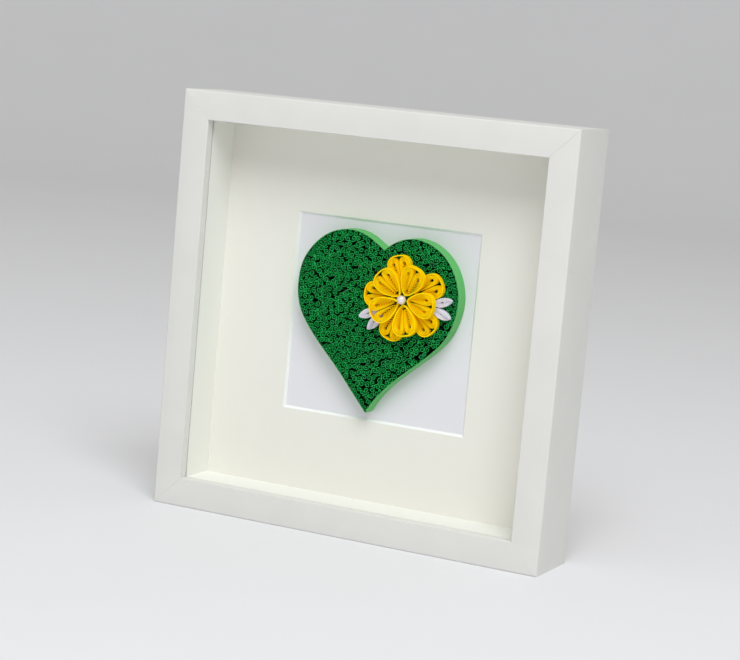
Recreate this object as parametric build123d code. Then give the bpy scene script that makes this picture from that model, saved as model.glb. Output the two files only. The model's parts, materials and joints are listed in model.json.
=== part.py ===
"""Framed quilled paper art: a deep white box frame with a quilled heart and flower.

Millimetres. Z is up, the picture faces -Y, and the origin is at the middle of the underside of
the frame. Depths below are counted backwards from the front face of the frame.
"""

import os
from math import cos, hypot, pi, radians, sin, sqrt
from random import Random

from build123d import *

# ---- Frame -------------------------------------------------------------------------------
frame_side = 250.0  # outside width and height
frame_depth = 45.0  # front to back
rail_face = 17.2  # width of the front face of a rail
rebate = 7.2  # how far the rebate runs in behind the lip
lip_thickness = 6.2  # front face to the glazing
arris_radius = 0.8  # rounding of the long front and back edges
lip_radius = 0.5  # rounding of the inner front edge
mitre_groove = 0.3  # fine groove left along each front mitre
loose_fit = 0.4  # sheets in the rebate, all round
slot_play = 0.3  # glazing in its slot, front to back

# ---- Sheets in the frame -----------------------------------------------------------------
glazing_thickness = 1.2
spacer_thickness = 6.6  # spacer strips, measured across
spacer_depth = 25.3  # spacer strips, front to back
mat_thickness = 1.4
mat_window = 119.0  # window at the front face of the mat
mat_bevel = 1.3  # the bevel runs in this far at 45 degrees
mat_land = mat_thickness - mat_bevel  # square edge left behind the bevel
window_drop = 0.9  # the window sits this far below the middle
card_thickness = 0.6
board_thickness = 3.0

# ---- Back fittings -----------------------------------------------------------------------
tab_thickness = 0.6
tab_width = 9.0
tab_length = 13.0
tab_embedded = 5.0  # pressed into the rail
tabs_per_side = 2
hanger_width = 44.0
hanger_height = 15.0
hanger_thickness = 1.0
hanger_drop = 34.0  # below the top of the frame
hanger_hole = 8.5  # clears a screw head
hanger_slot = 4.2  # clears a screw shank
hanger_room = 12.0  # width and height of the opening in the backboard behind the keyhole
rivet_radius = 1.6
rivet_head_radius = 3.0
rivet_head = 0.9
rivet_spacing = 34.0

# ---- Quilled heart -----------------------------------------------------------------------
heart_height = 10.0  # strip width, standing up from the backing card
rim_thickness = 0.3
coil_fill_height = 9.9
coil_strip = 0.28
coil_pitch = 1.05  # from one turn to the next
coil_spacing = 3.75  # from one coil to the next, roughly
coil_count = 600
coil_settling = 110  # rounds of pushing the coils apart
coil_gap = 0.06
smallest_coil = 0.8  # radius of the smallest coil put in a gap between others
coil_seed = 7
coil_area_level = 4.0  # coils above this level are the upper areas
notch_half_angle = radians(52)  # between the middle of the notch and either side
point_half_angle = radians(41)
# Outline of the heart from the notch round each side to the point, from the middle of the frame.
heart_notch = (2.6, 42.6)
heart_point = (-0.6, -53.6)
heart_right = (
    (9.0, 47.6), (18.5, 51.0), (28.5, 50.3), (38.0, 45.7), (45.6, 38.0), (50.3, 28.0),
    (51.9, 17.0), (50.4, 7.4), (45.6, -4.0), (37.6, -13.4), (24.9, -24.6), (13.9, -34.4),
    (6.4, -42.6),
)
heart_left = (
    (-3.2, 46.4), (-11.5, 50.7), (-22.6, 52.0), (-33.9, 48.6), (-43.4, 40.6), (-49.3, 31.0),
    (-51.6, 17.5), (-49.7, 4.4), (-42.6, -7.6), (-31.3, -20.2), (-21.6, -30.0), (-10.9, -42.0),
)

# ---- Flower ------------------------------------------------------------------------------
flower_centre = (19.2, 16.2)  # from the middle of the frame
petal_height = 3.0
petal_strip = 0.2
petal_turns = 7
petal_coil_length = 15.8
petal_coil_half = 3.32  # half the width of one teardrop coil
petal_fullness = 1.7  # larger pinches the teardrop nearer its round end
petal_tip_radius = 0.17
petal_eye = 3.3  # from the eye of the coil to its round end
petal_eye_size = 0.15  # length of the innermost turn, of the full outline
petal_eye_width = 0.33  # width of the innermost turn, of the full outline
petal_lean = 0.3  # how far the round end of a coil leans towards the middle of its petal
petal_gap = 0.12  # between paper surfaces inside a petal
petal_end = 5.6  # from the widest part of the petal to its outer end, inside the wrap
petal_squareness = 2.4
wrap_thickness = 0.7
upper_angles = (66.0, 138.0, 210.5, 283.0, 354.5)
lower_angles = (30.0, 105.0, 178.0, 250.0, 320.0)
upper_radius = 4.65  # from the middle of the flower to the coil tips
lower_radius = 8.8
upper_tilt = 10.0
upper_lift = 2.65  # of the upper tips above the heart

# ---- Leaves and pearl --------------------------------------------------------------------
leaf_length = 12.6
leaf_half = 2.7
leaf_height = 3.0
leaf_strip = 0.3
leaf_turns = 5
leaf_tip_radius = 0.2
leaves = (  # radius of the inner tip, angle of the inner tip, direction of the leaf
    (17.9, -2.4, 17.0),
    (18.2, -10.2, -22.0),
    (18.9, 206.0, 205.0),
    (17.9, 216.5, 232.0),
)
pearl_radius = 2.7
pearl_flat = 2.1  # height of the pearl's middle above its flat back
pearl_sink = 1.0  # the pearl sits this far down between the tips of the petals

# ---- Worked out from the sizes above -----------------------------------------------------
opening = frame_side - 2 * rail_face
pocket = opening + 2 * rebate
sheet_side = pocket - 2 * loose_fit
glazing_front = lip_thickness + slot_play / 2
spacer_front = lip_thickness + glazing_thickness + slot_play
mat_front = spacer_front + spacer_depth
card_front = mat_front + mat_thickness
board_front = card_front + card_thickness
board_back = board_front + board_thickness
heart_face = card_front - heart_height
petal_face = card_front - coil_fill_height


def facing(depth, x=0.0, z=0.0):
    """A plane parallel to the front at a depth, its normal towards the viewer."""
    return Plane(
        origin=(x, depth - frame_depth / 2, z + frame_side / 2), x_dir=(1, 0, 0), z_dir=(0, -1, 0)
    )


def slab(width, height, front, back, x=0.0, z=0.0):
    """A rectangular block between two depths."""
    block = Box(width, back - front, height, align=(Align.CENTER, Align.MIN, Align.CENTER))
    return Pos(x, front - frame_depth / 2, z + frame_side / 2) * block


def quarter(index):
    """One of the four quarters of the frame cut by its diagonals: top, left, bottom, right."""
    reach = frame_side
    wedge = make_face(Polyline((0, 0), (reach, reach), (-reach, reach), close=True))
    return facing(frame_depth + 1) * (Rot(0, 0, 90 * index) * extrude(wedge, frame_depth + 2))


# ---- Frame and sheets --------------------------------------------------------------------
def rails():
    """Four mitred rails with a lip in front and a rebate behind it."""
    ring = slab(frame_side, frame_side, 0, frame_depth)
    long_edges = ring.edges().filter_by(Axis.X) + ring.edges().filter_by(Axis.Z)
    ring = fillet(long_edges, arris_radius)
    ring -= slab(opening, opening, -1, frame_depth + 1)
    inner = [
        edge for edge in ring.edges().group_by(Axis.Y)[0]
        if edge.length > opening - 1 and edge.length < opening + 1
    ]
    ring = fillet(inner, lip_radius)
    ring -= slab(pocket, pocket, lip_thickness, frame_depth + 1)
    bar = Rot(45, 0, 0) * Box(2 * frame_side, mitre_groove / sqrt(2), mitre_groove / sqrt(2))
    for diagonal in (45, -45):
        ring -= facing(0) * (Rot(0, 0, diagonal) * bar)
    tab_slots = tabs_placed()
    pieces = {}
    for index, name in enumerate(("rail_top", "rail_left", "rail_bottom", "rail_right")):
        rail = ring & quarter(index)
        for tab in tab_slots:
            rail -= tab
        pieces[name] = rail
    return pieces


def tabs_placed():
    """Thin steel tabs pressed into the rails behind the backboard."""
    tabs = []
    centre = pocket / 2 + tab_embedded - tab_length / 2
    tab = slab(tab_width, tab_length, board_back, board_back + tab_thickness, 0, centre)
    for side in range(4):
        turned = Pos(0, 0, frame_side / 2) * (
            Rot(0, 90 * side, 0) * (Pos(0, 0, -frame_side / 2) * tab)
        )
        for place in range(tabs_per_side):
            slide = (place - (tabs_per_side - 1) / 2) * pocket / 2
            offset = Pos(slide, 0, 0) if side % 2 == 0 else Pos(0, 0, slide)
            tabs.append(offset * turned)
    return tabs


def spacers():
    """Four mitred strips that hold the glazing away from the mat."""
    outside = sheet_side
    ring = slab(outside, outside, spacer_front, mat_front)
    ring -= slab(
        outside - 2 * spacer_thickness, outside - 2 * spacer_thickness, 0, frame_depth
    )
    names = ("spacer_top", "spacer_left", "spacer_bottom", "spacer_right")
    return {name: ring & quarter(index) for index, name in enumerate(names)}


def mat_board():
    """Mat board with a square window cut at 45 degrees."""
    board = slab(sheet_side, sheet_side, mat_front, card_front)
    inner = mat_window - 2 * mat_bevel
    board -= slab(inner, inner, mat_front - 1, card_front + 1, 0, -window_drop)
    bevel = loft([
        facing(mat_front, 0, -window_drop) * Rectangle(mat_window, mat_window),
        facing(card_front - mat_land, 0, -window_drop) * Rectangle(inner, inner),
    ])
    return board - bevel


def hanger():
    """A keyhole plate on the backboard and the two rivets that hold it."""
    level = frame_side / 2 - hanger_drop
    back = facing(board_back + hanger_thickness, 0, level)
    plate = back * extrude(RectangleRounded(hanger_width, hanger_height, 3), hanger_thickness)
    hole = back * Pos(0, -2, -1) * Cylinder(hanger_hole / 2, 4)
    slot = slab(hanger_slot, 6, 0, frame_depth, 0, level + 1)
    end = back * Pos(0, 4, -1) * Cylinder(hanger_slot / 2, 4)
    plate = plate - hole - slot - end
    rivets = []
    for side in (-1, 1):
        x = side * rivet_spacing / 2
        place = facing(board_back + hanger_thickness, x, level)
        shank_length = hanger_thickness + board_thickness
        low = (Align.CENTER, Align.CENTER, Align.MIN)
        high = (Align.CENTER, Align.CENTER, Align.MAX)
        shank = place * Cylinder(rivet_radius, shank_length, align=low)
        head = place * Cylinder(rivet_head_radius, rivet_head, align=high)
        rivets.append(shank + head)
    for rivet in rivets:
        plate -= rivet
    return plate, rivets


# ---- Paper strips ------------------------------------------------------------------------
def offset_path(points, distance):
    """The path moved sideways, to the left of its direction of travel."""
    moved = []
    last = len(points) - 1
    for index, (x, y) in enumerate(points):
        before = points[max(index - 1, 0)]
        after = points[min(index + 1, last)]
        dx, dy = after[0] - before[0], after[1] - before[1]
        size = hypot(dx, dy)
        moved.append((x - dy / size * distance, y + dx / size * distance))
    return moved


def strip(points, thickness, height, turn_steps):
    """A paper strip standing on edge along a path, smooth along each turn."""
    left = offset_path(points, thickness / 2)
    right = offset_path(points, -thickness / 2)
    edges = [Line(left[-1], right[-1]), Line(right[0], left[0])]
    for side in (left, right):
        for start in range(0, len(points) - 1, turn_steps):
            edges.append(Spline(*side[start:start + turn_steps + 1]))
    return extrude(make_face(edges), height)


def teardrop_half(turn, length, half_width, fullness, tip_radius):
    """Distance from the tip and signed half width of a teardrop, turn running 0 to 2 pi."""
    nose = sqrt(tip_radius * length / 2)
    body = (half_width - 0.94 * nose) / 0.702
    pinch = sin(turn / 2)
    return length * pinch**2, sin(turn) * (nose + body * abs(pinch) ** fullness)


# ---- Petals ------------------------------------------------------------------------------
def widest(length, half_width, fullness, tip_radius):
    """Where a teardrop is widest, and its half width there."""
    steps = [pi * count / 400 for count in range(1, 400)]
    sizes = [teardrop_half(turn, length, half_width, fullness, tip_radius) for turn in steps]
    return max(sizes, key=lambda size: size[1])


petal_widest, petal_widest_half = widest(
    petal_coil_length, petal_coil_half, petal_fullness, petal_tip_radius
)
petal_coil_middle = petal_gap / 2 + petal_strip / 2 + petal_widest_half


def petal_outline(turn, size=1.0):
    """Middle of a paper turn of a coil along one side of a petal, rounder as turns get smaller."""
    x, half = teardrop_half(
        turn, petal_coil_length, petal_coil_half, petal_fullness, petal_tip_radius
    )
    lift = abs(half) if x < petal_widest else petal_widest_half
    y = petal_coil_middle - petal_widest_half + lift + half
    rounding = 0.12 + 0.55 * (1 - size)
    x += rounding * (petal_coil_length / 2 * (1 - cos(turn)) - x)
    y += rounding * (petal_coil_middle + petal_widest_half * sin(turn) - y)
    past = max(0.0, x - petal_widest) / (petal_coil_length - petal_widest)
    x += petal_lean * past * (petal_coil_middle - y)
    eye = petal_coil_length - petal_eye
    inward = (1 - size) / (1 - petal_eye_size)
    width = 1 - (1 - petal_eye_width) * inward
    return eye + size * (x - eye), petal_coil_middle + width * (y - petal_coil_middle)


def petal_coil():
    """A coil pinched to a point, its eye pulled to the round end."""
    steps = 24
    points = []
    for count in range(petal_turns * steps + 1):
        size = 1 - (1 - petal_eye_size) * count / (petal_turns * steps)
        points.append(petal_outline(2 * pi * (count % steps) / steps, size))
    return strip(points, petal_strip, petal_height, steps)


def wrap_path():
    """One side of the inside of a petal's wrap, from its point to its outer end."""
    side = [petal_outline(2 * pi * count / 48) for count in range(2, 24)]
    top = max(side, key=lambda point: point[1])
    side = [point for point in side if point[0] <= top[0]]
    clear = petal_strip / 2 + petal_gap
    path = [(-1.6 * petal_strip - petal_gap, 0.0)] + offset_path(side, clear)
    for count in range(1, 9):
        angle = pi / 2 * (1 - count / 8)
        x = top[0] + petal_end * cos(angle) ** (2 / petal_squareness)
        y = (top[1] + clear) * max(sin(angle), 0.0) ** (2 / petal_squareness)
        path.append((x, y))
    return path


def mirrored(path):
    """A closed path from one side of a petal and its mirror image."""
    return path + [(x, -y) for x, y in reversed(path[:-1])]


def petal_wrap():
    """The band wound round both coils of a petal."""
    inner = wrap_path()
    outer = offset_path(inner, wrap_thickness)
    outer[0] = (inner[0][0] - 1.5 * wrap_thickness, 0.0)
    outer[-1] = (inner[-1][0] + wrap_thickness, 0.0)
    outside = make_face(Spline(*mirrored(outer)))
    inside = make_face(Spline(*mirrored(inner)))
    return extrude(outside - inside, petal_height)


def petals():
    """Ten petals in two layers, each a wrap round a left and a right coil."""
    coil = petal_coil()
    parts = {"wrap": petal_wrap(), "coil_left": coil, "coil_right": mirror(coil, Plane.XZ)}
    base = facing(petal_face, *flower_centre)
    pieces = {}
    for layer, angles in (("upper", upper_angles), ("lower", lower_angles)):
        upper = layer == "upper"
        radius = upper_radius if upper else lower_radius
        lift = Pos(0, 0, upper_lift) * Rot(0, -upper_tilt, 0) if upper else Pos(0, 0, 0)
        for count, angle in enumerate(angles, 1):
            place = Rot(0, 0, angle) * Pos(radius, 0, 0) * lift
            for name, part in parts.items():
                pieces[f"petal_{layer}_{count}_{name}"] = base * place * part
    return pieces


# ---- Leaves and pearl --------------------------------------------------------------------
def leaf_coil():
    """A coil pinched at both ends."""
    steps = 20
    nose = sqrt(leaf_tip_radius * leaf_length / 2)
    points = []
    for count in range(leaf_turns * steps + 1):
        turn = 2 * pi * (count % steps) / steps
        size = 1 - 0.84 * count / (leaf_turns * steps)
        half = sin(turn) * (nose + (leaf_half - nose) * abs(sin(turn)))
        x = leaf_length / 2 * (1 - size * cos(turn))
        rounding = 0.5 * (1 - size)
        half = (1 - rounding) * half + rounding * leaf_half * sin(turn)
        points.append((x, size * half))
    return strip(points, leaf_strip, leaf_height, steps)


def flower_leaves():
    """Four leaves that spread from under the petals."""
    leaf = leaf_coil()
    base = facing(petal_face, *flower_centre)
    pieces = {}
    for count, (radius, angle, heading) in enumerate(leaves, 1):
        place = Rot(0, 0, angle) * Pos(radius, 0, 0) * Rot(0, 0, heading - angle)
        pieces[f"leaf_{count}"] = base * place * leaf
    return pieces


def pearl():
    """A flat-backed pearl between the tips of the upper petals."""
    seat = petal_face - upper_lift - petal_height * cos(radians(upper_tilt)) + pearl_sink
    base = facing(seat, *flower_centre)
    ball = Pos(0, 0, pearl_flat) * Sphere(pearl_radius)
    below = Pos(0, 0, -pearl_radius) * Box(3 * pearl_radius, 3 * pearl_radius, 2 * pearl_radius)
    return base * (ball - below)


# ---- Heart -------------------------------------------------------------------------------
def heart_edges():
    """The two sides of the heart, each from the notch to the point."""
    return [Spline(heart_notch, *side, heart_point) for side in (heart_right, heart_left)]


def heart_rim():
    """The light strip that runs round the heart."""
    outside = []
    notch = (heart_notch[0], heart_notch[1] + rim_thickness / sin(notch_half_angle))
    point = (heart_point[0], heart_point[1] - rim_thickness / sin(point_half_angle))
    for side, edge in zip((-1, 1), heart_edges()):
        path = [tuple(edge @ (step / 24))[:2] for step in range(1, 24)]
        path = offset_path(path, -side * rim_thickness)
        outside.append(Spline(notch, *path, point))
    ring = make_face(outside) - make_face(heart_edges())
    return facing(card_front) * extrude(ring, heart_height)


def outline_samples(count=70):
    """Points along the heart with the direction that leads inside from each."""
    samples = []
    for side, edge in zip((-1, 1), heart_edges()):
        for step in range(count):
            along = (step + 0.5) / count
            point, heading = edge @ along, edge % along
            samples.append((point.X, point.Y, -side * heading.Y, side * heading.X))
    return samples


def room_to_rim(x, y, samples):
    """Distance inside the heart's outline, and the direction that leads further in."""
    px, py, nx, ny = min(samples, key=lambda s: (s[0] - x) ** 2 + (s[1] - y) ** 2)
    return (x - px) * nx + (y - py) * ny, nx, ny


def coil_centres(samples):
    """Centres scattered over the heart, then pushed apart until they fill it evenly."""
    random = Random(coil_seed)
    reach_x = max(abs(sample[0]) for sample in samples)
    reach_y = max(abs(sample[1]) for sample in samples)
    centres = []
    while len(centres) < coil_count:
        x, y = random.uniform(-reach_x, reach_x), random.uniform(-reach_y, reach_y)
        if room_to_rim(x, y, samples)[0] > 0.33 * coil_spacing:
            centres.append([x, y])
    for _ in range(coil_settling):
        cells = {}
        for index, (x, y) in enumerate(centres):
            cells.setdefault((int(x // coil_spacing), int(y // coil_spacing)), []).append(index)
        for index, here in enumerate(centres):
            cx, cy = int(here[0] // coil_spacing), int(here[1] // coil_spacing)
            near = [
                other for i in (-1, 0, 1) for j in (-1, 0, 1)
                for other in cells.get((cx + i, cy + j), [])
            ]
            for other in near:
                if other <= index:
                    continue
                there = centres[other]
                dx, dy = there[0] - here[0], there[1] - here[1]
                apart = hypot(dx, dy) or 0.01
                push = (coil_spacing - apart) * 0.25
                if push > 0:
                    here[0] -= dx / apart * push
                    here[1] -= dy / apart * push
                    there[0] += dx / apart * push
                    there[1] += dy / apart * push
            room, nx, ny = room_to_rim(*here, samples)
            short = coil_spacing * 0.47 - room
            if short > 0:
                here[0] += nx * short
                here[1] += ny * short
    return centres


def coil_radii(centres, samples):
    """The largest radius each coil can have without touching its neighbours or the rim."""
    largest = 0.6 * coil_spacing
    near = []
    for index, (x, y) in enumerate(centres):
        gaps = [
            (hypot(x - a, y - b), other) for other, (a, b) in enumerate(centres) if other != index
        ]
        near.append(sorted(gaps)[:8])
    radii = [min((gaps[0][0] - coil_gap) / 2, largest) for gaps in near]
    for _ in range(2):
        for index, (x, y) in enumerate(centres):
            room = room_to_rim(x, y, samples)[0] - coil_gap
            free = min(apart - coil_gap - radii[other] for apart, other in near[index])
            radii[index] = min(room, free, largest)
    return radii


def gap_coils(centres, radii, samples):
    """Small coils for the gaps between the others, the widest gaps first."""
    cells = {}
    for (x, y), radius in zip(centres, radii):
        key = (int(x // coil_spacing), int(y // coil_spacing))
        cells.setdefault(key, []).append((x, y, radius))
    step = 0.5
    across = int(max(abs(sample[0]) for sample in samples) / step)
    upwards = int(max(abs(sample[1]) for sample in samples) / step)
    spots = []
    for i in range(-across, across + 1):
        for j in range(-upwards, upwards + 1):
            x, y = i * step, j * step
            cx, cy = int(x // coil_spacing), int(y // coil_spacing)
            near = [
                coil for a in (-1, 0, 1) for b in (-1, 0, 1)
                for coil in cells.get((cx + a, cy + b), [])
            ]
            free = min((hypot(x - a, y - b) - radius for a, b, radius in near), default=9.0)
            if free > smallest_coil + coil_gap:
                room = room_to_rim(x, y, samples)[0]
                spots.append((min(free, room) - coil_gap, x, y))
    added = []
    for free, x, y in sorted(spots, reverse=True):
        for a, b, radius in added:
            free = min(free, hypot(x - a, y - b) - radius - coil_gap)
        if free > smallest_coil:
            added.append((x, y, min(free, coil_spacing / 2)))
    return added


def loose_coil(radius, side):
    """A coil of half circles, each smaller than the last, drawn about the origin."""
    size = radius - coil_strip / 2
    step = max(0.63 * coil_strip, min(coil_pitch / 2, (size - coil_strip) / 2.2))
    middle = 0.0
    outer, inner, ends = [], [], []
    way = 1
    while size > coil_strip:
        for arcs, change in ((outer, coil_strip / 2), (inner, -coil_strip / 2)):
            reach = size + change
            arcs.append(ThreePointArc(
                (middle + way * reach, 0),
                (middle, way * side * reach),
                (middle - way * reach, 0),
            ))
        last = middle - way * size
        middle = middle - way * step if way > 0 else middle + step
        size -= step
        way = -way
    half = coil_strip / 2
    start = radius - coil_strip
    edges = outer + inner + [Line((start, 0), (radius, 0)), Line((last - half, 0), (last + half, 0))]
    return extrude(make_face(edges), coil_fill_height)


def heart_coils():
    """Small loose coils that fill the heart, glued standing on the backing card, in four areas."""
    samples = outline_samples()
    centres = coil_centres(samples)
    radii = coil_radii(centres, samples)
    random = Random(coil_seed + 1)
    base = facing(card_front)
    areas = {"upper_left": [], "upper_right": [], "lower_left": [], "lower_right": []}
    placed = [(x, y, radius) for (x, y), radius in zip(centres, radii)]
    placed += gap_coils(centres, radii, samples)
    for x, y, radius in placed:
        angle, side = random.uniform(0, 360), random.choice((-1, 1))
        area = ("upper_" if y > coil_area_level else "lower_") + ("left" if x < 0 else "right")
        if radius > 2.5 * coil_strip:
            coil = base * Pos(x, y, 0) * Rot(0, 0, angle) * loose_coil(radius, side)
            areas[area].append(coil)
    return {f"heart_coils_{area}": Compound(children=coils) for area, coils in areas.items()}


# ---- Write the parts ---------------------------------------------------------------------
def main():
    pieces = rails()
    pieces |= spacers()
    pieces["glazing"] = slab(
        sheet_side, sheet_side, glazing_front, glazing_front + glazing_thickness
    )
    pieces["mat_board"] = mat_board()
    pieces["backing_card"] = slab(sheet_side, sheet_side, card_front, board_front)
    plate, rivets = hanger()
    board = slab(sheet_side, sheet_side, board_front, board_back)
    level = frame_side / 2 - hanger_drop
    board -= slab(hanger_room, hanger_room, 0, frame_depth, 0, level)
    for rivet in rivets:
        board -= rivet
    pieces["backboard"] = board
    pieces["hanger_plate"] = plate
    pieces["hanger_rivets"] = Compound(children=rivets)
    pieces["retaining_tabs"] = Compound(children=tabs_placed())
    pieces["heart_rim"] = heart_rim()
    pieces |= heart_coils()
    pieces |= petals()
    pieces |= flower_leaves()
    pieces["pearl"] = pearl()

    os.makedirs("parts", exist_ok=True)
    for name, piece in pieces.items():
        export_step(piece, f"parts/{name}.step")


if __name__ == "__main__":
    main()
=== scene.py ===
"""Finishes and finer pieces for a framed quilled paper heart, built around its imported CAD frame."""

import json
import math

import bmesh
import bpy
from bpy.props import FloatProperty, FloatVectorProperty, IntProperty, PointerProperty
from bpy.types import Operator, Panel, PropertyGroup
from mathutils import Matrix, Vector

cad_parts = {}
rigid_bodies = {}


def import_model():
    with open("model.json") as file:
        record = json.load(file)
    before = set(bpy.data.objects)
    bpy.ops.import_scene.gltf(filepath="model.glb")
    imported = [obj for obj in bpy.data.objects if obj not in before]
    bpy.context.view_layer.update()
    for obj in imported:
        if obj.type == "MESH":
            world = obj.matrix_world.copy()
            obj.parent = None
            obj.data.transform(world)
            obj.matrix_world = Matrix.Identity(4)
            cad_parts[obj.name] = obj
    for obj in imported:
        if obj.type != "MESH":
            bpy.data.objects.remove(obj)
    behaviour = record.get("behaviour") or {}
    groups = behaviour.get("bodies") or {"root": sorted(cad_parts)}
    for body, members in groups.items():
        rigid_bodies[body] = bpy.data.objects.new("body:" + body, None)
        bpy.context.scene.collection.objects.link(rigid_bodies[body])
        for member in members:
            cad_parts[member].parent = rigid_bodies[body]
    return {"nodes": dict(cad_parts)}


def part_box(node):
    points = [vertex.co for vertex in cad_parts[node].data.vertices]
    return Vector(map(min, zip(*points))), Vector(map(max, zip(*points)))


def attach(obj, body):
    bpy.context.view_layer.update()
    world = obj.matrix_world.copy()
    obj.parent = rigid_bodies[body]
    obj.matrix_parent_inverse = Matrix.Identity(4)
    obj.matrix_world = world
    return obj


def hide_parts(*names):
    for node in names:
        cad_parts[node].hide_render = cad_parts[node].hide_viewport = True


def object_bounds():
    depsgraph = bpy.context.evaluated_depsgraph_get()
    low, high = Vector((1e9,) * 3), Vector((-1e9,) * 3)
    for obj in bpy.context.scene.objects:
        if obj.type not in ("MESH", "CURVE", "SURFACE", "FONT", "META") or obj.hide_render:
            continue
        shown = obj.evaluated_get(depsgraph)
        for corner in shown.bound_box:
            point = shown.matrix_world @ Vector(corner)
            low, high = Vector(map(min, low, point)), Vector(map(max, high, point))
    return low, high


bl_info = {
    "name": "Framed quilled paper art",
    "version": (1, 0, 0),
    "blender": (4, 5, 0),
    "location": "View3D > Sidebar > Paper Art",
    "description": "Rails, mat, quilled heart, quilled flower, back fittings and studio",
    "category": "Object",
}

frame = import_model()
cad = frame["nodes"]
SIDES = ("top", "left", "bottom", "right")  # anticlockwise, as the picture is looked at
MILLIMETRE = 0.001
MERGE = 1e-6  # metres; vertices nearer than this are one
CLOSE = 2e-5  # metres; how near a face or edge has to be to count as at a place
WHOLE_LOW, WHOLE_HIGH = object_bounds()

# How a surface faces: the Y of its normal, which is -1 where it faces the viewer.
ASLANT, FACE_ON = -0.5, -0.85  # paper shows its side up to the first, its cut edge past the second
FLAT_FACE, BEVEL_FACE = 0.97, 0.9  # the mat's face down to the first, its bevel below the second

# Paper
PAPER_GRAIN = 4200  # fibres a metre across a quilling strip
PAPER_RELIEF = 0.000018
COIL_CELLS, PETAL_CELLS, LEAF_CELLS = 235, 170, 150  # patches of like tone a metre
COIL_GLOSS, PETAL_GLOSS, LEAF_GLOSS = 0.12, 0.05, 0.28
PETAL_PAINTED_GLOW, LEAF_PAINTED_GLOW = 0.09, 0.05  # painted light: a faint glow in the side colour that brightens the petals and leaves
RIM_TURN = 0.0008  # the rim goes from its outside to its inside colour between plus and minus this

# Pearl
PEARL_SEGMENTS, PEARL_RINGS = 64, 40
PEARL_FOOT = 0.04  # rounding of the flat back's edge, of the radius
# Painted sheen: the rosy colour the pearl turns to towards its outline as the camera sees it.
PEARL_SHEEN = (0.72, 0.58, 0.55)

# Studio, in metres; directions have no unit
KEY_PLACE, KEY_TARGET = (0.85, -1.5, 2.2), (0, 0, 0.12)
KEY_TINT = (0.965, 0.985, 1.0)
FLOOR_SIDES = 128
SWEEP_STEPS = 12
CAMERA_PLACE = (0.53435, -1.13523, 0.28869)
CAMERA_AIM = (-0.42292, 0.89638, -0.13284)
CAMERA_UP = (-0.13695, 0.08168, 0.98720)
SENSOR_WIDTH = 36  # millimetres
NEAREST, FARTHEST = 0.01, 100  # what the camera sees lies between these


# ---- Sizes and colours a user may change ---------------------------------------------------
def colour(name, description, value):
    return FloatVectorProperty(
        name=name, description=description, subtype="COLOR", size=3, min=0, max=1, default=value
    )


def length(name, description, millimetres):
    return FloatProperty(
        name=name, description=description, unit="LENGTH", min=0, precision=5,
        default=millimetres * MILLIMETRE,
    )


class FrameFinish(PropertyGroup):
    foil: colour("Rail foil", "White foil round the rails", (0.725, 0.72, 0.69))
    spacer: colour("Spacer", "White spacer strips inside the box", (0.88, 0.875, 0.83))
    mat: colour("Mat face", "Warm white face paper of the mat", (0.845, 0.825, 0.765))
    mat_core: colour("Mat core", "Core shown by the bevel of the window", (0.90, 0.90, 0.89))
    card: colour("Backing card", "Cool white card behind the heart", (0.79, 0.77, 0.81))
    hardboard: colour("Hardboard", "Brown board at the back", (0.30, 0.17, 0.085))
    steel: colour("Steel", "Zinc-coated hanger, rivets and tabs", (0.62, 0.62, 0.60))
    lip: length("Lip", "Front of the rail to the back of its lip", 6.2)
    rebate: length("Rebate", "How far the rebate runs in behind the lip", 7.2)
    arris: length("Arris radius", "Rounding of the outer long edges", 0.8)
    lip_arris: length("Lip radius", "Rounding of the inner front edge", 0.5)
    mitre_line: length("Mitre line", "Half width of the fine groove at each front mitre", 0.16)
    arris_steps: IntProperty(
        name="Arris steps", description="Facets across each rounded arris", default=5, min=1, max=12
    )


class PaperFinish(PropertyGroup):
    # Coil edge and coil side are lit and shaded copies of one green: the side is painted shade, far
    # darker, standing in for the shade between the coils.
    coil: colour("Coil edge", "Cut edges of the deep green strips", (0.020, 0.58, 0.118))
    coil_side_shade: colour("Coil side", "Sides of the deep green strips", (0.001, 0.050, 0.008))
    rim: colour("Rim", "Outside of the light green strip", (0.11, 0.50, 0.13))
    rim_edge: colour("Rim edge", "Cut edge of the light green strip", (0.06, 0.36, 0.10))
    # The rim's inside colour is painted shade: the same light green paper, darkened where the coils
    # shade it.
    rim_inside_shade: colour("Rim inside", "Inside of the rim, in the shade", (0.004, 0.12, 0.02))
    # The petal side is a deeper copy of the yellow: painted shade on the faces turned aside.
    petal: colour("Petal edge", "Cut edges of the golden yellow strips", (1.0, 0.70, 0.001))
    petal_side_shade: colour("Petal side", "Sides of the golden yellow strips", (1.0, 0.58, 0.0))
    # The leaf side is a darker copy of the lilac-white: painted shade on the faces turned aside.
    leaf: colour("Leaf edge", "Cut edges of the lilac-white strips", (0.93, 0.905, 0.97))
    leaf_side_shade: colour("Leaf side", "Sides of the lilac-white strips", (0.80, 0.77, 0.90))
    pearl: colour("Pearl", "Lacquer of the half pearl", (0.83, 0.78, 0.75))
    strip: length("Strip", "Thickness of one turn of the petal wraps", 0.235)
    strip_step: length("Strip step", "How far the middle turn of a wrap sits back", 0.10)


class StageSetting(PropertyGroup):
    floor: colour("Floor", "Pale paper floor", (0.80, 0.805, 0.825))
    sky: colour("Surround", "Even light from all round", (1.0, 0.985, 0.955))
    sky_strength: FloatProperty(
        name="Surround strength", description="Brightness of the surround", default=0.52, min=0
    )
    key_power: FloatProperty(
        name="Key power", description="Soft box above the front", default=50, min=0,
        unit="POWER",
    )
    key_size: length("Key size", "Side of the soft box", 1500)
    floor_radius: length("Floor radius", "Radius of the level part of the floor", 2600)
    sweep_radius: length("Sweep radius", "Radius of the curve that the floor ends in", 1200)
    lens: FloatProperty(
        name="Lens", description="Focal length", default=105.44, min=10, unit="CAMERA"
    )


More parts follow.
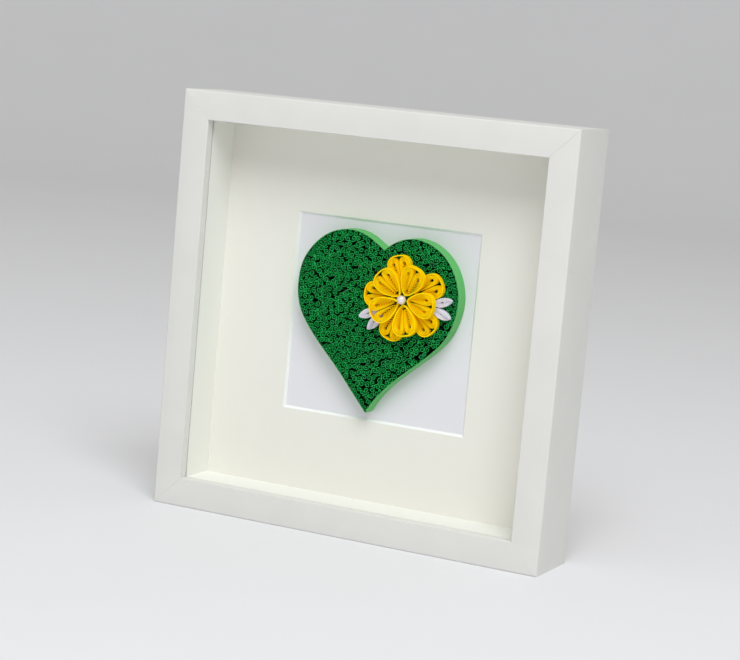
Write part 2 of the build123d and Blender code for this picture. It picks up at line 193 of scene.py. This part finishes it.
# ---- Hand tools ------------------------------------------------------------------------------
def pick(piece):
    """Leave only this object selected and active."""
    if bpy.context.object and bpy.context.object.mode != "OBJECT":
        bpy.ops.object.mode_set(mode="OBJECT")
    bpy.ops.object.select_all(action="DESELECT")
    piece.select_set(True)
    bpy.context.view_layer.objects.active = piece


def edit(piece, mode="FACE"):
    """Open a piece in edit mode with nothing selected and return its edit mesh."""
    pick(piece)
    bpy.ops.object.mode_set(mode="EDIT")
    bpy.ops.mesh.select_mode(type=mode)
    bpy.ops.mesh.select_all(action="DESELECT")
    return bmesh.from_edit_mesh(piece.data)


def select(piece, elements):
    """Select these faces or edges of a piece that is open in edit mode."""
    found = list(elements)
    if not found:
        raise RuntimeError(f"nothing to select on {piece.name}")
    for element in found:
        element.select = True
    bmesh.update_edit_mesh(piece.data)


def close_edit(piece):
    """Leave edit mode with only this piece selected."""
    bpy.ops.object.mode_set(mode="OBJECT")
    pick(piece)


def name_piece(piece, name):
    """Give a piece and its mesh the same name."""
    piece.name = name
    piece.data.name = name
    return piece


def settle(piece):
    """Put a piece's place into its mesh, so that its object sits at the origin."""
    pick(piece)
    bpy.ops.object.transform_apply(location=True, rotation=True, scale=True)


def smooth(piece, angle):
    """Shade a piece smooth, apart from edges sharper than this many degrees."""
    pick(piece)
    bpy.ops.object.shade_smooth_by_angle(angle=math.radians(angle))


def twin(piece, name):
    """A copy of a piece with its own mesh."""
    made = piece.copy()
    made.data = piece.data.copy()
    bpy.context.scene.collection.objects.link(made)
    return name_piece(made, name)


def cad_twin(node, name):
    """A merged copy of a CAD node's mesh as a new piece."""
    made = bpy.data.objects.new(name, cad[node].data.copy())
    made.data.name = name
    made.data.materials.clear()
    bpy.context.scene.collection.objects.link(made)
    edit(made, "VERT")
    bpy.ops.mesh.select_all(action="SELECT")
    bpy.ops.mesh.remove_doubles(threshold=MERGE)
    close_edit(made)
    return made


def fit(piece, material, slot, *nodes):
    """Give a new piece its finish and let it stand for its CAD nodes."""
    piece.data.materials.clear()
    piece.data.materials.append(material)
    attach(piece, "root")
    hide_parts(*nodes)


def dress(material, *nodes):
    """Give CAD nodes a finish."""
    for node in nodes:
        mesh = cad[node].data
        if not mesh.materials:
            mesh.materials.append(material)
        for index in range(len(mesh.materials)):
            mesh.materials[index] = material


def nodes_named(start):
    """The CAD nodes whose names start like this, in order."""
    found = sorted(name for name in cad if name.startswith(start))
    if not found:
        raise RuntimeError(f"the frame has no node whose name starts with {start}")
    return found


# ---- Node materials --------------------------------------------------------------------------
class Finish:
    """A node material on Object coordinates."""

    def __init__(self, name):
        self.material = bpy.data.materials.new(name)
        self.material.use_nodes = True
        self.tree = self.material.node_tree
        self.tree.nodes.clear()
        self.place = self.node("ShaderNodeTexCoord").outputs["Object"]
        self.output = self.node("ShaderNodeOutputMaterial")

    def node(self, kind, inputs=None, **settings):
        made = self.tree.nodes.new(kind)
        for key, value in settings.items():
            setattr(made, key, value)
        for key, value in (inputs or {}).items():
            if isinstance(value, bpy.types.NodeSocket):
                self.tree.links.new(value, made.inputs[key])
            else:
                made.inputs[key].default_value = value
        return made

    def stretched(self, scale):
        """Object coordinates scaled along each axis."""
        return self.node("ShaderNodeMapping", {"Vector": self.place, "Scale": scale}).outputs[0]

    def noise(self, scale, detail=3.0, roughness=0.55, place=None):
        """Soft noise with about this many features a metre."""
        made = self.node("ShaderNodeTexNoise", {
            "Vector": place or self.place, "Scale": scale, "Detail": detail, "Roughness": roughness,
        })
        return made.outputs["Fac"]

    def cells(self, scale):
        """A random value for each cell, with about this many cells a metre."""
        made = self.node("ShaderNodeTexVoronoi", {"Vector": self.place, "Scale": scale})
        return self.node("ShaderNodeSeparateColor", {"Color": made.outputs["Color"]}).outputs[0]

    def ramp(self, factor, *stops):
        """Colour from stops of (position, colour)."""
        made = self.node("ShaderNodeValToRGB", {"Fac": factor})
        line = made.color_ramp.elements
        while len(line) < len(stops):
            line.new(0.5)
        for element, (position, value) in zip(line, stops):
            element.position = position
            element.color = (*value, 1)
        return made.outputs["Color"]

    def spread(self, factor, low, high, bottom=0.0, top=1.0):
        """Map a range of values to another, with its ends held."""
        return self.node("ShaderNodeMapRange", {
            "Value": factor, "From Min": low, "From Max": high, "To Min": bottom, "To Max": top,
        }).outputs[0]

    def mix(self, factor, first, second):
        """A colour between two others; sockets 6 and 7 of the node take colours."""
        made = self.node("ShaderNodeMix", data_type="RGBA")
        for socket, value in ((made.inputs[0], factor), (made.inputs[6], first),
                              (made.inputs[7], second)):
            if isinstance(value, bpy.types.NodeSocket):
                self.tree.links.new(value, socket)
            else:
                socket.default_value = value if isinstance(value, float) else (*value, 1)
        return made.outputs[2]

    def sum(self, first, second, share):
        """first plus a share of second."""
        return self.node("ShaderNodeMath", {0: second, 1: share, 2: first},
                         operation="MULTIPLY_ADD").outputs[0]

    def bump(self, height, depth):
        """Normals for a relief this many metres deep."""
        return self.node("ShaderNodeBump", {
            "Height": height, "Distance": depth, "Strength": 1.0,
        }).outputs[0]

    def surface(self, inputs):
        """Join these inputs to the material's one shader."""
        shader = self.node("ShaderNodeBsdfPrincipled", inputs)
        self.tree.links.new(shader.outputs[0], self.output.inputs["Surface"])


def tinted(value, factor):
    """A colour made lighter or darker, with no channel past 1."""
    return tuple(min(channel * factor, 1.0) for channel in value)


def foil_finish(look):
    """Smooth white foil with a very fine grain and a faint waviness under it."""
    made = Finish("white_foil")
    cloud = made.noise(38, 2)
    grain = made.noise(5200, 2)
    tone = made.ramp(cloud, (0.35, tinted(look.foil, 0.985)), (0.65, tinted(look.foil, 1.012)))
    relief = made.sum(grain, made.noise(160, 2), 1.6)
    made.surface({
        "Base Color": tone,
        "Roughness": made.spread(grain, 0.3, 0.7, 0.36, 0.46),
        "Specular IOR Level": 0.42,
        "Normal": made.bump(relief, 0.000012),
    })
    return made.material


def spacer_finish(look):
    """Paper-faced board, matt, with short fibres along each strip."""
    made = Finish("spacer_paper")
    fibre = made.noise(2600, 4, 0.6)
    tone = made.ramp(fibre, (0.3, tinted(look.spacer, 0.97)), (0.7, tinted(look.spacer, 1.015)))
    made.surface({
        "Base Color": tone, "Roughness": 0.62, "Specular IOR Level": 0.32,
        "Normal": made.bump(fibre, 0.00002),
    })
    return made.material


def pane_finish():
    """Thin clear pane with next to no reflection."""
    made = Finish("clear_pane")
    clear = made.node("ShaderNodeBsdfTransparent", {"Color": (0.992, 0.996, 0.994, 1)})
    gloss = made.node("ShaderNodeBsdfGlossy", {"Roughness": 0.04})
    smear = made.noise(22, 2)
    edge = made.node("ShaderNodeLayerWeight", {"Blend": 0.08})
    share = made.node("ShaderNodeMath", {
        0: edge.outputs["Facing"], 1: made.spread(smear, 0.3, 0.7, 0.010, 0.016),
    }, operation="MULTIPLY")
    blend = made.node("ShaderNodeMixShader", {
        0: share.outputs[0], 1: clear.outputs[0], 2: gloss.outputs[0],
    })
    made.tree.links.new(blend.outputs[0], made.output.inputs["Surface"])
    return made.material


def mat_finish(look):
    """Warm white mat board: felt-pressed face, smoother and whiter core on the bevel."""
    made = Finish("mat_board")
    felt = made.noise(1100, 5, 0.62)
    fleck = made.spread(made.noise(3400, 2), 0.70, 0.78)
    face = made.ramp(felt, (0.3, tinted(look.mat, 0.975)), (0.72, tinted(look.mat, 1.012)))
    face = made.mix(fleck, face, tinted(look.mat, 0.93))
    facing = made.node("ShaderNodeNewGeometry").outputs["True Normal"]
    depth = made.node("ShaderNodeSeparateXYZ", {0: facing}).outputs["Y"]
    level = made.node("ShaderNodeMath", {0: depth}, operation="ABSOLUTE").outputs[0]
    core = made.spread(level, FLAT_FACE, BEVEL_FACE)
    pulp = made.ramp(felt, (0.3, tinted(look.mat_core, 0.97)), (0.7, look.mat_core))
    made.surface({
        "Base Color": made.mix(core, face, pulp), "Roughness": 0.86, "Specular IOR Level": 0.22,
        "Normal": made.bump(felt, 0.00004),
    })
    return made.material


def card_finish(look):
    """Cool white card, nearly smooth."""
    made = Finish("backing_card")
    pulp = made.noise(1900, 4)
    tone = made.ramp(pulp, (0.3, tinted(look.card, 0.985)), (0.7, tinted(look.card, 1.01)))
    made.surface({
        "Base Color": tone, "Roughness": 0.74, "Specular IOR Level": 0.3,
        "Normal": made.bump(pulp, 0.000015),
    })
    return made.material


def hardboard_finish(look):
    """Pressed brown board with pale and dark fibres."""
    made = Finish("hardboard")
    fibre = made.noise(520, 7, 0.72, made.stretched((1, 1, 0.45)))
    strand = made.noise(900, 4, 0.6, made.stretched((0.16, 1, 1)))
    tone = made.ramp(
        fibre, (0.28, tinted(look.hardboard, 0.62)), (0.5, look.hardboard),
        (0.74, tinted(look.hardboard, 1.5)),
    )
    tone = made.mix(made.spread(strand, 0.66, 0.74, 0, 0.5), tone, tinted(look.hardboard, 1.9))
    tone = made.mix(made.spread(strand, 0.34, 0.26, 0, 0.6), tone, tinted(look.hardboard, 0.4))
    made.surface({
        "Base Color": tone, "Roughness": 0.66, "Specular IOR Level": 0.35,
        "Normal": made.bump(made.sum(fibre, strand, 0.5), 0.00006),
    })
    return made.material


def steel_finish(look):
    """Zinc-coated sheet with rolling marks and soft spangle."""
    made = Finish("zinc_coated_steel")
    spangle = made.cells(260)
    marks = made.noise(900, 4, 0.6, made.stretched((0.06, 1, 1)))
    tone = made.ramp(spangle, (0.0, tinted(look.steel, 0.86)), (1.0, tinted(look.steel, 1.08)))
    made.surface({
        "Base Color": tone, "Metallic": 1.0,
        "Roughness": made.spread(marks, 0.3, 0.7, 0.30, 0.44),
        "Normal": made.bump(marks, 0.000008),
    })
    return made.material


def strip_finish(name, edge, side, patches, gloss, painted_glow=0.0):
    """Quilling paper: lighter cut edges facing the front and darker sides as painted light and shade,
    and tones that differ by coil.
    """
    made = Finish(name)
    fibre = made.noise(PAPER_GRAIN, 4, 0.6)
    normal = made.node("ShaderNodeNewGeometry").outputs["True Normal"]
    front = made.node("ShaderNodeSeparateXYZ", {0: normal}).outputs["Y"]
    # Painted light and shade by facing: faces turned to the front take the lighter edge colour, faces
    # turned aside the darker side colour.
    cut_edge = made.spread(front, ASLANT, FACE_ON)
    shaded_sides = made.ramp(fibre, (0.28, tinted(side, 0.84)), (0.72, tinted(side, 1.12)))
    edges = made.ramp(fibre, (0.30, tinted(edge, 0.86)), (0.66, tinted(edge, 1.1)))
    each = made.spread(made.cells(patches), 0.1, 0.9, 0, 0.5)
    tone = made.mix(cut_edge, shaded_sides, edges)
    made.surface({
        "Base Color": made.mix(each, tone, made.mix(0.5, tone, side)), "Roughness": 0.72,
        "Specular IOR Level": gloss, "Normal": made.bump(fibre, PAPER_RELIEF),
        # Painted light: the paper glows faintly in its side colour, though it is no lamp.
        "Emission Color": (*side, 1.0), "Emission Strength": painted_glow,
    })
    return made.material


def rim_finish(look):
    """Light green outside, deeper green on the cut edge, dark painted shade on the inside, with fine
    fibres.
    """
    made = Finish("rim_paper")
    low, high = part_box("heart_rim")
    middle = (low + high) / 2
    fibre = made.noise(PAPER_GRAIN, 4, 0.6)
    normal = made.node("ShaderNodeNewGeometry").outputs["True Normal"]
    outward = made.node("ShaderNodeVectorMath", {0: made.place, 1: middle}, operation="SUBTRACT")
    side = made.node("ShaderNodeVectorMath", {0: outward.outputs[0], 1: normal},
                     operation="DOT_PRODUCT").outputs["Value"]
    front = made.node("ShaderNodeSeparateXYZ", {0: normal}).outputs["Y"]
    outside = made.ramp(fibre, (0.28, tinted(look.rim, 0.93)), (0.72, tinted(look.rim, 1.06)))
    # Painted shade: faces turned in towards the heart's middle take the dark inside colour.
    tone = made.mix(made.spread(side, RIM_TURN, -RIM_TURN), outside, look.rim_inside_shade)
    made.surface({
        "Base Color": made.mix(made.spread(front, ASLANT, FACE_ON), tone, look.rim_edge),
        "Roughness": 0.74, "Specular IOR Level": 0.28, "Sheen Weight": 0.08,
        "Sheen Roughness": 0.5, "Normal": made.bump(fibre, PAPER_RELIEF),
    })
    return made.material


def pearl_finish(look):
    """Pearl lacquer: glossy coat over a body, with a painted sheen that turns it rosy towards its
    edge.
    """
    made = Finish("pearl_lacquer")
    cloud = made.noise(420, 3)
    body = made.ramp(cloud, (0.35, tinted(look.pearl, 0.95)), (0.65, tinted(look.pearl, 1.05)))
    # Painted sheen: Layer Weight facing turns the body colour rosy where the surface turns away from
    # the camera.
    edge = made.node("ShaderNodeLayerWeight", {"Blend": 0.35}).outputs["Facing"]
    made.surface({
        "Base Color": made.mix(edge, body, PEARL_SHEEN),
        "Roughness": made.spread(cloud, 0.3, 0.7, 0.22, 0.3),
        "Metallic": 0.25, "Coat Weight": 0.8, "Coat Roughness": 0.08,
    })
    return made.material


def floor_finish(look):
    """Plain pale paper."""
    made = Finish("floor_paper")
    pulp = made.noise(6, 2)
    tone = made.ramp(pulp, (0.3, tinted(look.floor, 0.99)), (0.7, look.floor))
    made.surface({"Base Color": tone, "Roughness": 0.8, "Specular IOR Level": 0.2})
    return made.material


# ---- Rails -----------------------------------------------------------------------------------
def cut(piece, point, direction):
    """Cut a piece at a plane, drop what lies in front of it and close the end."""
    edit(piece)
    bpy.ops.mesh.select_all(action="SELECT")
    bpy.ops.mesh.bisect(
        plane_co=point, plane_no=direction, use_fill=True, clear_outer=True, threshold=MERGE
    )
    close_edit(piece)


def bevel_edges(piece, test, width, steps):
    """Round the edges whose two ends pass a test."""
    mesh = edit(piece, "EDGE")
    select(piece, (e for e in mesh.edges if all(test(v.co) for v in e.verts)))
    bpy.ops.mesh.bevel(offset=width, segments=steps, profile=0.5, affect="EDGES")
    close_edit(piece)


def top_rail(look):
    """The top rail: a lip with the deeper outer part drawn out behind it, mitred at both ends."""
    low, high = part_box("rail_top")
    front, back = low.y, high.y
    middle = (low + high) / 2
    bpy.ops.object.select_all(action="DESELECT")
    bpy.ops.mesh.primitive_cube_add(
        size=1, location=(middle.x, front + look.lip / 2, middle.z),
        scale=(high.x - low.x, look.lip, high.z - low.z),
    )
    rail = name_piece(bpy.context.object, "Rail_top")
    settle(rail)
    shoulder = low.z + look.rebate
    edit(rail)
    bpy.ops.mesh.select_all(action="SELECT")
    bpy.ops.mesh.bisect(plane_co=(0, 0, shoulder), plane_no=(0, 0, 1), threshold=MERGE)
    close_edit(rail)
    mesh = edit(rail)
    select(rail, (
        f for f in mesh.faces if f.normal.y > 0.9 and f.calc_center_median().z > shoulder
    ))
    bpy.ops.mesh.extrude_region_move(
        TRANSFORM_OT_translate={"value": (0, back - front - look.lip, 0)}
    )
    close_edit(rail)
    for depth in (front, back):
        bevel_edges(
            rail, lambda v: abs(v.z - high.z) < CLOSE and abs(v.y - depth) < CLOSE,
            look.arris, look.arris_steps,
        )
    bevel_edges(
        rail, lambda v: abs(v.z - low.z) < CLOSE and abs(v.y - front) < CLOSE,
        look.lip_arris, look.arris_steps,
    )
    for way in (-1, 1):
        corner = Vector((way * high.x, 0, high.z))
        slope = Vector((way, 0, -1)).normalized()
        cut(rail, corner, slope)
        bevel_edges(
            rail,
            lambda v: abs((v - corner).dot(slope)) < CLOSE and v.y < front + look.arris * 0.5,
            look.mitre_line, 1,
        )
    return rail


class ART_OT_rails(Operator):
    """Model one foil-wrapped rail and copy it round the frame"""

    bl_idname = "art.rails"
    bl_label = "Rails"

    def execute(self, context):
        look = context.scene.frame_finish
        foil = foil_finish(look)
        first = top_rail(look)
        hub = Vector((0, 0, (WHOLE_LOW.z + WHOLE_HIGH.z) / 2))
        for turn, side in enumerate(SIDES):
            rail = first if turn == 0 else twin(first, f"Rail_{side}")
            if turn:
                angle = -math.radians(90 * turn)
                rail.data.transform(
                    Matrix.Translation(hub) @ Matrix.Rotation(angle, 4, "Y")
                    @ Matrix.Translation(-hub)
                )
        for side in SIDES:
            rail = bpy.data.objects[f"Rail_{side}"]
            smooth(rail, 30)
            fit(rail, foil, "white_rail", f"rail_{side}")
        return {"FINISHED"}


# ---- Box ---------------------------------------------------------------------------------------
class ART_OT_box(Operator):
    """Finish the spacers, the pane, the mat board and the backing card"""

    bl_idname = "art.box"
    bl_label = "Box"

    def execute(self, context):
        look = context.scene.frame_finish
        dress(spacer_finish(look), *(f"spacer_{side}" for side in SIDES))
        dress(pane_finish(), "glazing")
        dress(mat_finish(look), "mat_board")
        dress(card_finish(look), "backing_card")
        return {"FINISHED"}


class ART_OT_back(Operator):
    """Finish the backboard, its hanger and the tabs that hold it in"""

    bl_idname = "art.back"
    bl_label = "Back"

    def execute(self, context):
        look = context.scene.frame_finish
        dress(hardboard_finish(look), "backboard")
        dress(steel_finish(look), "hanger_plate", "hanger_rivets", "retaining_tabs")
        return {"FINISHED"}


# ---- Quilling ----------------------------------------------------------------------------------
class ART_OT_heart(Operator):
    """Finish the rim of the heart and the coils that fill it"""

    bl_idname = "art.heart"
    bl_label = "Heart"

    def execute(self, context):
        look = context.scene.paper_finish
        dress(rim_finish(look), "heart_rim")
        dress(
            strip_finish("coil_paper", look.coil, look.coil_side_shade, COIL_CELLS, COIL_GLOSS),
            *nodes_named("heart_coils_"),
        )
        return {"FINISHED"}


def layered_wrap(node, name, look):
    """A wrap whose front edge shows the turns of its strip, the middle one set back a little."""
    wrap = cad_twin(node, name)
    mesh = edit(wrap)
    face = max(mesh.faces, key=lambda f: -f.normal.y * (f.calc_area() > 0)).normal.copy()
    select(wrap, (f for f in mesh.faces if f.normal.dot(face) > 0.98))
    bpy.ops.mesh.inset(thickness=look.strip, depth=0, use_boundary=True, use_even_offset=True)
    bpy.ops.transform.translate(value=tuple(-face * look.strip_step))
    close_edit(wrap)
    return wrap


class ART_OT_petals(Operator):
    """Finish the petal coils and model the strip wound round each petal"""

    bl_idname = "art.petals"
    bl_label = "Petals"

    def execute(self, context):
        look = context.scene.paper_finish
        yellow = strip_finish(
            "petal_paper", look.petal, look.petal_side_shade, PETAL_CELLS, PETAL_GLOSS, PETAL_PAINTED_GLOW
        )
        for node in nodes_named("petal_"):
            if node.endswith("_wrap"):
                wrap = layered_wrap(node, node.capitalize(), look)
                smooth(wrap, 30)
                fit(wrap, yellow, "yellow_paper", node)
            else:
                dress(yellow, node)
        return {"FINISHED"}


class ART_OT_leaves(Operator):
    """Finish the pale leaves beside the flower"""

    bl_idname = "art.leaves"
    bl_label = "Leaves"

    def execute(self, context):
        look = context.scene.paper_finish
        paper = strip_finish(
            "leaf_paper", look.leaf, look.leaf_side_shade, LEAF_CELLS, LEAF_GLOSS, LEAF_PAINTED_GLOW
        )
        dress(paper, *nodes_named("leaf_"))
        return {"FINISHED"}


class ART_OT_pearl(Operator):
    """Model the half pearl at the middle of the flower"""

    bl_idname = "art.pearl"
    bl_label = "Pearl"

    def execute(self, context):
        look = context.scene.paper_finish
        low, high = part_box("pearl")
        radius = (high.x - low.x) / 2
        centre = Vector(((low.x + high.x) / 2, low.y + radius, (low.z + high.z) / 2))
        bpy.ops.object.select_all(action="DESELECT")
        bpy.ops.mesh.primitive_uv_sphere_add(
            segments=PEARL_SEGMENTS, ring_count=PEARL_RINGS, radius=radius, location=centre,
            rotation=(math.pi / 2, 0, 0),
        )
        pearl = name_piece(bpy.context.object, "Pearl")
        settle(pearl)
        cut(pearl, (0, high.y, 0), (0, 1, 0))
        bevel_edges(pearl, lambda v: abs(v.y - high.y) < CLOSE, radius * PEARL_FOOT, 2)
        smooth(pearl, 40)
        fit(pearl, pearl_finish(look), "pearl", "pearl")
        return {"FINISHED"}


# ---- Studio ------------------------------------------------------------------------------------
def aimed(eye, forward, up):
    """A camera's or lamp's matrix from its place, its direction and its upward direction."""
    back = -Vector(forward).normalized()
    right = Vector(up).cross(back).normalized()
    top = back.cross(right)
    turned = Matrix((right, top, back)).transposed().to_4x4()
    return Matrix.Translation(eye) @ turned


def soft_box(name, place, target, size, power, tint):
    """A square lamp aimed at a point."""
    lamp = bpy.data.lights.new(name, "AREA")
    lamp.shape = "SQUARE"
    lamp.size = size
    lamp.energy = power
    lamp.color = tint
    holder = bpy.data.objects.new(name, lamp)
    bpy.context.scene.collection.objects.link(holder)
    place = Vector(place)
    holder.matrix_world = aimed(place, Vector(target) - place, (0, 0, 1))


def raise_sweep(floor, look):
    """Draw the floor's edge outwards and up in a quarter curve."""
    mesh = edit(floor, "EDGE")
    select(floor, mesh.edges)
    reach = look.floor_radius
    for step in range(1, SWEEP_STEPS + 1):
        angle = math.pi / 2 * step / SWEEP_STEPS
        before = math.pi / 2 * (step - 1) / SWEEP_STEPS
        further = look.floor_radius + look.sweep_radius * math.sin(angle)
        rise = look.sweep_radius * (math.cos(before) - math.cos(angle))
        bpy.ops.mesh.extrude_edges_move(TRANSFORM_OT_translate={"value": (0, 0, rise)})
        bpy.ops.transform.resize(
            value=(further / reach, further / reach, 1), center_override=(0, 0, 0)
        )
        reach = further
    close_edit(floor)


class ART_OT_stage(Operator):
    """Lay the floor, hang the soft box and set the camera"""

    bl_idname = "art.stage"
    bl_label = "Stage"

    def execute(self, context):
        scene = context.scene
        look = scene.stage_setting
        bpy.ops.object.select_all(action="DESELECT")
        bpy.ops.mesh.primitive_circle_add(
            vertices=FLOOR_SIDES, radius=look.floor_radius, fill_type="NGON",
            location=(0, 0, WHOLE_LOW.z),
        )
        floor = name_piece(bpy.context.object, "Floor")
        settle(floor)
        raise_sweep(floor, look)
        smooth(floor, 60)
        floor.data.materials.append(floor_finish(look))

        world = bpy.data.worlds.new("Surround")
        world.use_nodes = True
        light = world.node_tree.nodes["Background"]
        light.inputs["Color"].default_value = (*look.sky, 1)
        light.inputs["Strength"].default_value = look.sky_strength
        scene.world = world
        soft_box("Key", KEY_PLACE, KEY_TARGET, look.key_size, look.key_power, KEY_TINT)

        camera = bpy.data.objects.new("Camera", bpy.data.cameras.new("Camera"))
        scene.collection.objects.link(camera)
        camera.data.sensor_width = SENSOR_WIDTH
        camera.data.lens = look.lens
        camera.data.clip_start, camera.data.clip_end = NEAREST, FARTHEST
        camera.matrix_world = aimed(Vector(CAMERA_PLACE), CAMERA_AIM, CAMERA_UP)
        scene.camera = camera
        scene.view_settings.view_transform = "Standard"
        return {"FINISHED"}


# ---- Panel and registration --------------------------------------------------------------------
STEPS = (ART_OT_rails, ART_OT_box, ART_OT_back, ART_OT_heart, ART_OT_petals, ART_OT_leaves,
         ART_OT_pearl, ART_OT_stage)
SETTINGS = {
    "frame_finish": FrameFinish, "paper_finish": PaperFinish, "stage_setting": StageSetting,
}


class ART_PT_panel(Panel):
    """Sizes, colours and steps of the framed quilled heart"""

    bl_idname = "ART_PT_panel"
    bl_label = "Framed paper art"
    bl_space_type = "VIEW_3D"
    bl_region_type = "UI"
    bl_category = "Paper Art"

    def draw(self, context):
        for name, group in SETTINGS.items():
            box = self.layout.box()
            box.label(text=name.replace("_", " ").capitalize())
            for field in group.__annotations__:
                box.prop(getattr(context.scene, name), field)
        for step in STEPS:
            self.layout.operator(step.bl_idname)


def register():
    for made in (*SETTINGS.values(), *STEPS, ART_PT_panel):
        bpy.utils.register_class(made)
    for name, group in SETTINGS.items():
        setattr(bpy.types.Scene, name, PointerProperty(type=group))


def unregister():
    for name in SETTINGS:
        delattr(bpy.types.Scene, name)
    for made in reversed((*SETTINGS.values(), *STEPS, ART_PT_panel)):
        bpy.utils.unregister_class(made)


def main():
    register()
    for step in STEPS:
        group, verb = step.bl_idname.split(".")
        if getattr(getattr(bpy.ops, group), verb)() != {"FINISHED"}:
            raise RuntimeError(f"{step.bl_label} did not finish")


if __name__ == "__main__":
    main()
